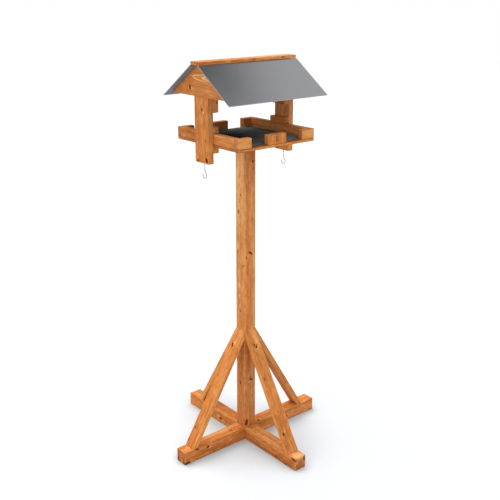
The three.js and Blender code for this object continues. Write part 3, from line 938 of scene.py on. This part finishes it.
def grained_rubber(name):
    """Black rubber sheet with a grained face, and dust on it that paints shade on the left and light on the
    right.
    """
    material, tree, shader, place, tint, cloud = clouded_finish(
        name, size=60, colours=("#332F2D", "#777F79"), roughness=(0.7, 0.85))
    grains = add_node(tree, "TexVoronoi", {"Vector": place, "Scale": 1 / (GRAIN_SIZE * MM)},
                      feature="SMOOTH_F1")
    speck = add_node(tree, "TexNoise", {"Vector": place, "Scale": 1 / (SPECK_SIZE * MM), "Detail": 2.0})
    # Painted shade and light: the dust fades out round a spot on the left.
    aside = add_node(tree, "VectorMath", {0: place, 1: SWEPT_SHADED_SPOT}, operation="SUBTRACT")
    oval = add_node(tree, "VectorMath", {0: aside, 1: SWEPT_SHADED_OVAL}, operation="MULTIPLY")
    reach = add_node(tree, "VectorMath", {0: oval}, operation="LENGTH")
    swept_and_shaded = add_node(tree, "MapRange", {"Value": reach, RAMP: SHADED_TO_DUSTY_AND_LIT}, **SMOOTH)
    patchy = add_node(tree, "MapRange", {"Value": cloud, RAMP: DUST_CLOUDS})
    grit = add_node(tree, "MapRange", {"Value": speck, RAMP: DUST_SPECKS})
    dust_and_painted_light = add_node(tree, "Math", {0: patchy, 1: grit}, operation="MULTIPLY")
    dust_and_painted_light = add_node(tree, "Math", {0: dust_and_painted_light, 1: swept_and_shaded}, operation="MULTIPLY")
    set_inputs(tree, tint, {"Factor": dust_and_painted_light})
    bump = add_node(tree, "Bump", {"Height": grains, "Strength": 0.35, "Distance": 0.1 * MM})
    set_inputs(tree, shader, {"Normal": bump, "Specular IOR Level": 0.0})
    return material


rubber = grained_rubber("grained_rubber")
mat = squared("feeding_mat", MAT_EASE)
fit_piece("feeding_mat_rubber", mat, [rubber], "feeding_mat", "mat")
print("mat fitted on its own body")

# %% [markdown]
# Uprights and their blocks
#
# A plank stands outside each end rail and carries the roof. Behind it sit three blocks of the rail's
# thickness: one under the board, one on the rail and a tall cleat under the ridge. The short blocks lie
# across, so their ends show end grain; the cleat stands up.

# %% Uprights, seat blocks, under blocks and cleats
UPRIGHT_EASE, BLOCK_EASE = 1.2, 1.0
BLOCK_SEED_STEP = 7
# Each upright's grain, its pith's place, its seed, its marks, its patches, its figure and its tone.
UPRIGHTS = {
    "upright_left": (
        (0.012, 0.02, 1), (22, 8, 0), 151.3,
        [((-189, -4, 1294), 4.8, 1.2, 0.75), ((-189, -12, 1287), 3.6, 1.8, -0.6),
         ((-189, 21.6, 1118), 5.6, 1.6, 0.7), ((-189, -26, 1127), 6.8, 1.1, 1.0),
         ((-189, -19, 1133), 3.0, 1.3, 0.5), ((-189, -21, 1193), 3.2, 1.5, 0.55),
         ((-189, 16, 1155), 1.5, 9.0, -0.4)], [((-180, -43, 1230), 14, 10.0, -0.4)], 0.75, -0.2),
    # Its one patch lightens most of its front face: painted light on a face that stands in shade.
    "upright_right": (
        (0.02, -0.01, 1), (-26, -10, 0), 163.9,
        [((168, 20, 1290), 5.0, 1.4, 0.6)], [((160, -20, 1240), 50, 3.0, -0.55)], 1.0, 0.3)}
# Each kind of block's grain, its pith's place, its first seed, its end's depth and its joint.
BLOCKS = {"under_block_": ((0.02, 1, 0.02), (-18, 0, 12), 171, 0.3, (1171.3,)),
          "seat_block_": ((-0.02, 1, 0.03), (-15, 0, 20), 191, 0.3, (1215.2,)),
          "cleat_": ((0.02, 0.01, 1), (-12, 24, 0), 211, 1.0, ())}
block_marks = {"cleat_left": [((-153, -37, 1318), 3.0, 2.5, 0.45)]}
block_patches = {"seat_block_left": [((-157, -44, 1226), 22, 1.5, -0.7)],
                 "cleat_left": [((-158, -42, 1308), 24, 2.0, -0.45), ((-147, -38, 1308), 4, 6.0, 0.3)],
                 # The right cleat's patch darkens it: painted shade under the roof.
                 "cleat_right": [((142, -14, 1300), 24, 2.5, 0.6)]}

for node, (grain, pith, seed, marks, patches, figure, tone) in UPRIGHTS.items():
    wooden(node, squared(node, UPRIGHT_EASE), grain, pith, seed, marks, patches=patches, figure=figure,
           tone=tone)
for side, way in (("left", -1), ("right", 1)):
    for kind, (grain, (x, y, z), seed, end_depth, joints) in BLOCKS.items():
        node = kind + side
        wooden(node, squared(node, BLOCK_EASE), grain, (x * way, y, z), seed + BLOCK_SEED_STEP * way,
               block_marks.get(node, ()), patches=block_patches.get(node, ()), end_depth=end_depth,
               joints=joints)
print("uprights and blocks fitted")

# %% [markdown]
# Gables
#
# A gable is a plank cut to the roof's slope, with its grain level. The left one shows a knot and two pale
# pointed arches, one inside the other. Their tips were read off the picture. The pith lies close behind the
# face, as it does in a plank with arches. Both boards are made a little darker than the rest, which paints
# the shade that the roof's overhang throws on them.

# %% Gables
ROOF_PITCH = math.radians(35)
# The gables' low tone is painted shade from the roof's overhang.
GABLE_SHADE_TONE, GABLE_FIGURE, GABLE_EASE = -1.3, 0.7, 1.0
GABLE_FACE = 189
# Each gable's grain, its pith's place, its seed, its marks and its arches.
GABLES = {
    "gable_left": (
        (0.085, 1, 0.01), (6, 0, 9), 231.7,
        [((-189, 59.6, 1364.5), 8.0, 0.6, 0.6), ((-189, 59.6, 1359.5), 5.4, 0.8, 1.0),
         ((-189, 69, 1361), 2.6, 1.1, -0.3), ((-189, 50, 1361), 3.0, 1.3, -0.4),
         ((-189, 28, 1412), 2.2, 9.0, 0.3), ((-189, 82, 1387), 2.4, 3.0, -0.35),
         ((-189, 74, 1395), 2.2, 2.4, -0.35), ((-189, 88, 1393), 2.2, 3.0, 0.35)],
        [((-189, 41, 1397.5), -1, 2.6, 0.65), ((-189, -10, 1397.5), -1, 1.7, 0.75)]),
    "gable_right": (
        (-0.05, 1, -0.01), (-8, 0, -12), 247.1, [((189, -40, 1370), 5.0, 1.3, 0.8)],
        [((189, -26, 1388), 1, 3.0, 0.45), ((189, 34, 1389), 1, 2.2, 0.5)])}

for node, (grain, pith, seed, marks, arches) in GABLES.items():
    low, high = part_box(node)
    half_top = high.y - (high.z - low.z) / math.tan(ROOF_PITCH)
    outline = [(-high.y, low.z), (high.y, low.z), (half_top, high.z), (-half_top, high.z)]
    paler = ((math.copysign(GABLE_FACE, low.x), 0, 1385), 60, 4.0, -0.12)
    wooden(node, sawn(outline, "X", low.x, high.x, GABLE_EASE), grain, pith, seed, marks, arches=arches,
           patches=[paler], figure=GABLE_FIGURE, tone=GABLE_SHADE_TONE)
print("gable corners:", *map(rounded, outline))

# %% [markdown]
# Ridge beam and cap
#
# The beam lies on the cleats between the gables. Its upper edges are planed to the slope, so that the
# sheets lie flat on it. The cap is a thin strip on top that covers the sheets' upper edges.

# %% Ridge beam and cap
BEAM_TOP_HALF = 15.75 * MM
BEAM_EASE, CAP_EASE = 0.8, 1.0

low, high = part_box("ridge_beam")
shoulder = high.z - (high.y - BEAM_TOP_HALF) * math.tan(ROOF_PITCH)
outline = [(-high.y, low.z), (high.y, low.z), (high.y, shoulder), (BEAM_TOP_HALF, high.z),
           (-BEAM_TOP_HALF, high.z), (-high.y, shoulder)]
wooden("ridge_beam", sawn(outline, "X", low.x, high.x, BEAM_EASE), grain=(1, 0.01, 0.02), pith=(0, 10, -24),
       seed=261.3)
cap_marks = [((20, -22, 1444), 5.0, 1.8, 0.32), ((-90, -22, 1446), 4.0, 2.5, -0.4),
             ((150, -22, 1444), 4.0, 2.0, 0.4)]
wooden("ridge_cap", squared("ridge_cap", CAP_EASE), grain=(1, 0.014, -0.012), pith=(0, -16, -24), seed=273.9,
       marks=cap_marks, tone=0.3)
print("ridge fitted")

# %% [markdown]
# Coated sheet
#
# The roof is thin sheet steel with a satin grey coat, cut to size. The coat has a little metal flake in it,
# so it shades off across the slope as a soft mirror would. Its face is almost even, with a very slight
# orange peel. The cut edges are bare and brighter, and the underside has only a dull backing coat.

# %% The sheets' coats
BARE_EDGE = "#A9AEB6"
EDGE_REACH = 1.2
FLAKE_METALLIC = 0.8
PEEL_SIZE = 2.5


def coated_sheet(name, stock):
    """Sheet steel with a satin coat and bare cut edges."""
    material, tree, shader, place, tint = clouded_finish(
        name, size=90, colours=("#8F9092", "#959597"), roughness=(0.13, 0.16))[:5]
    edge = edge_nearness(tree, stock, EDGE_REACH)
    bare = add_node(tree, "Mix", {"Factor": edge, "A": tint, "B": linear(BARE_EDGE)}, **COLOURS)
    peel = add_node(tree, "TexNoise", {"Vector": place, "Scale": 1 / (PEEL_SIZE * MM), "Detail": 2.0})
    bump = add_node(tree, "Bump", {"Height": peel, "Strength": 0.15, "Distance": 0.03 * MM})
    set_inputs(tree, shader, {"Base Color": bare, "Normal": bump, "Metallic": FLAKE_METALLIC})
    return material


backing = clouded_finish("dull_backing_coat", size=60, colours=("#72777F", "#7E838B"),
                         roughness=(0.5, 0.62))[0]
print("coats ready")

# %% [markdown]
# Roof sheets
#
# A sheet is 3 mm thick and lies on the gables' slope. Its section is four corners across the ridge: the
# upper and lower ends of the top face, and the same two moved inward by the thickness. It is sawn like a
# plank. The faces that look down then take the backing coat.

# %% Roof sheets
SHEET_TOP = in_metres(21.5, 1438.7)
SHEET_EAVE = in_metres(181.5, 1326.67)
SHEET_THICK = 3 * MM
SHEET_EASE = 0.5
LOOKS_DOWN = -0.8

inward = Vector((-math.sin(ROOF_PITCH), -math.cos(ROOF_PITCH))) * SHEET_THICK
section = [SHEET_TOP, SHEET_TOP + inward, SHEET_EAVE + inward, SHEET_EAVE]
middle = sum(section, Vector((0, 0))) / 4
for side, way in (("front", -1), ("back", 1)):
    node = "roof_sheet_" + side
    low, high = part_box(node)
    half = Vector((high.x, (SHEET_EAVE - SHEET_TOP).length / 2, SHEET_THICK / 2))
    stock = (Vector((0, way * middle.x, middle.y)), Euler((-way * ROOF_PITCH, 0, 0)), half)
    shape = sawn([(way * p.x, p.y) for p in section], "X", low.x, high.x, SHEET_EASE)
    for face in shape.faces:
        face.normal_update()
        face.material_index = 1 if face.normal.z < LOOKS_DOWN else 0
    coats = [coated_sheet("coated_" + node, stock), backing]
    fit_piece(node + "_coated", shape, coats, node)
print("sheet from", rounded(SHEET_TOP), "to", rounded(SHEET_EAVE))

# %% [markdown]
# Zinc-plated wire and screws
#
# Hooks and screws are plated steel: a bright, slightly blue-white metal with a soft gloss. Bright plating
# has a faint cloudiness, which is the clouded finish again, with clouds of 3 mm.

# %% Zinc plating
zinc, tree, shader = clouded_finish("bright_zinc", size=3, colours=("#A2A3A4", "#C6C7C8"),
                                    roughness=(0.2, 0.34))[:3]
set_inputs(tree, shader, {"Metallic": 1.0})
print("zinc ready")

# %% [markdown]
# The hooks
#
# A hook is one length of 3 mm wire. It comes straight down, bows out to the front and turns back up into an
# open loop. A ring of points is pulled down for the shank, and then spun twice: a short way round a centre
# at the front, and most of the way round the loop's own centre. The tip is rounded by two small steps.

# %% Bend the hooks
WIRE = 1.5
HOOK_SIDES = 14
SHANK_IN_WOOD, SHANK_LENGTH = 20, 42.4
BOW_FRONT, BOW_DOWN, BOW_ANGLE, BOW_STEPS = -14.13, -22.4, -55, 12
LOOP_DOWN, LOOP_ANGLE, LOOP_STEPS = -42.58, 255, 48
TIP_LEAN = math.radians(20)
TIP_STEPS = ((0.35, 0.85), (0.25, 0.55))


def bend(shape, ring, centre, angle, steps):
    """Spins the last ring of a wire round a centre, and gives back the new last ring."""
    spun = bmesh.ops.spin(shape, geom=ring, cent=centre, axis=(1, 0, 0), angle=math.radians(angle),
                          steps=steps, use_duplicate=False)
    return spun["geom_last"]


def pull(shape, ring, step, scale=1.0):
    """Pulls the last ring of a wire on by a step, and makes it narrower."""
    edges = [e for e in ring if isinstance(e, bmesh.types.BMEdge)]
    grown = bmesh.ops.extrude_edge_only(shape, edges=edges)["geom"]
    verts = [v for v in grown if isinstance(v, bmesh.types.BMVert)]
    bmesh.ops.translate(shape, verts=verts, vec=step)
    middle = sum((v.co for v in verts), Vector()) / len(verts)
    bmesh.ops.scale(shape, verts=verts, vec=(scale,) * 3, space=Matrix.Translation(-middle))
    return [g for g in grown if g in verts
            or isinstance(g, bmesh.types.BMEdge) and all(v in verts for v in g.verts)]


def hook_shape(x, foot):
    """A screw hook below a plank's foot."""
    shape = bmesh.new()
    bmesh.ops.create_circle(shape, cap_ends=True, segments=HOOK_SIDES, radius=WIRE * MM)
    bmesh.ops.translate(shape, verts=shape.verts, vec=(x, 0, foot + SHANK_IN_WOOD * MM))
    ring = pull(shape, shape.edges[:], in_metres(0, 0, -SHANK_LENGTH))
    ring = bend(shape, ring, Vector((x, BOW_FRONT * MM, foot + BOW_DOWN * MM)), BOW_ANGLE, BOW_STEPS)
    ring = bend(shape, ring, Vector((x, 0, foot + LOOP_DOWN * MM)), LOOP_ANGLE, LOOP_STEPS)
    ahead = Vector((0, -math.sin(TIP_LEAN), math.cos(TIP_LEAN)))
    for step, scale in TIP_STEPS:
        ring = pull(shape, ring, ahead * step * MM, scale)
    bmesh.ops.contextual_create(shape, geom=[e for e in ring if isinstance(e, bmesh.types.BMEdge)])
    for face in shape.faces:
        face.smooth = len(face.verts) == 4
    return shape


for side in ("left", "right"):
    low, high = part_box("upright_" + side)
    shape = hook_shape((low.x + high.x) / 2, low.z)
    fit_piece("hook_" + side + "_wire", shape, [zinc], "hook_" + side)

# %% [markdown]
# The screws
#
# Four countersunk screws hold the board on the post, and two long ones come up through the crossing. The
# profile of a screw is a line of points; spun once round, it makes the head, the shank and the point. The
# cross in the head is cut into its top: eight cuts mark it out, and the faces between them are pushed down.

# %% Turn the screws
SCREW_SIDES = 24
CROSS_REACH, CROSS_HALF, CROSS_DEPTH = 0.6, 0.16, 0.3
# How many there are, and a screw's head radius, head height, shank radius, length and point, in millimetres.
SCREWS = {"board_screw": (4, (4, 2.6, 2, 45, 4)), "post_screw": (2, (6, 4, 3, 120, 6))}


def screw_shape(head, head_height, shank, length, point):
    """A countersunk screw that points down from its head's top, which is at the origin."""
    shape = bmesh.new()
    profile = [(0, 0), (head, 0), (shank, -head_height), (shank, -length + point), (0, -length)]
    corners = [shape.verts.new((r * MM, 0, z * MM)) for r, z in profile]
    line = [shape.edges.new(pair) for pair in zip(corners, corners[1:])]
    bmesh.ops.spin(shape, geom=corners + line, cent=(0, 0, 0), axis=(0, 0, 1), angle=2 * math.pi,
                   steps=SCREW_SIDES, use_merge=True)
    bmesh.ops.remove_doubles(shape, verts=shape.verts, dist=WELD)
    arm, slot = CROSS_REACH * head * MM, CROSS_HALF * head * MM
    for reach in (arm, slot, -slot, -arm):
        for way in ((1, 0, 0), (0, 1, 0)):
            top = [f for f in shape.faces if all(v.co.z > -WELD for v in f.verts)]
            parts = top + list({e for f in top for e in f.edges}) + list({v for f in top for v in f.verts})
            bmesh.ops.bisect_plane(shape, geom=parts, plane_co=Vector(way) * reach, plane_no=way)
    recess = []
    for face in shape.faces:
        centre = face.calc_center_median()
        near, far = sorted((abs(centre.x), abs(centre.y)))
        if centre.z > -WELD and near < slot and far < arm:
            recess.append(face)
    sunk = bmesh.ops.extrude_face_region(shape, geom=recess)
    bmesh.ops.delete(shape, geom=recess, context="FACES_ONLY")
    verts = [v for v in sunk["geom"] if isinstance(v, bmesh.types.BMVert)]
    bmesh.ops.translate(shape, verts=verts, vec=(0, 0, -CROSS_DEPTH * head * MM))
    return shape


for kind, (count, sizes) in SCREWS.items():
    for number in range(1, count + 1):
        node = f"{kind}_{number}"
        low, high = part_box(node)
        shape = screw_shape(*sizes)
        top = high.z
        if kind == "post_screw":
            upside_down = Matrix.Rotation(math.pi, 3, "X")
            bmesh.ops.rotate(shape, verts=shape.verts, cent=(0, 0, 0), matrix=upside_down)
            top = low.z
        bmesh.ops.translate(shape, verts=shape.verts, vec=((low.x + high.x) / 2, (low.y + high.y) / 2, top))
        fit_piece(node + "_zinc", shape, [zinc], node)
print("screws:", {kind: count for kind, (count, sizes) in SCREWS.items()})
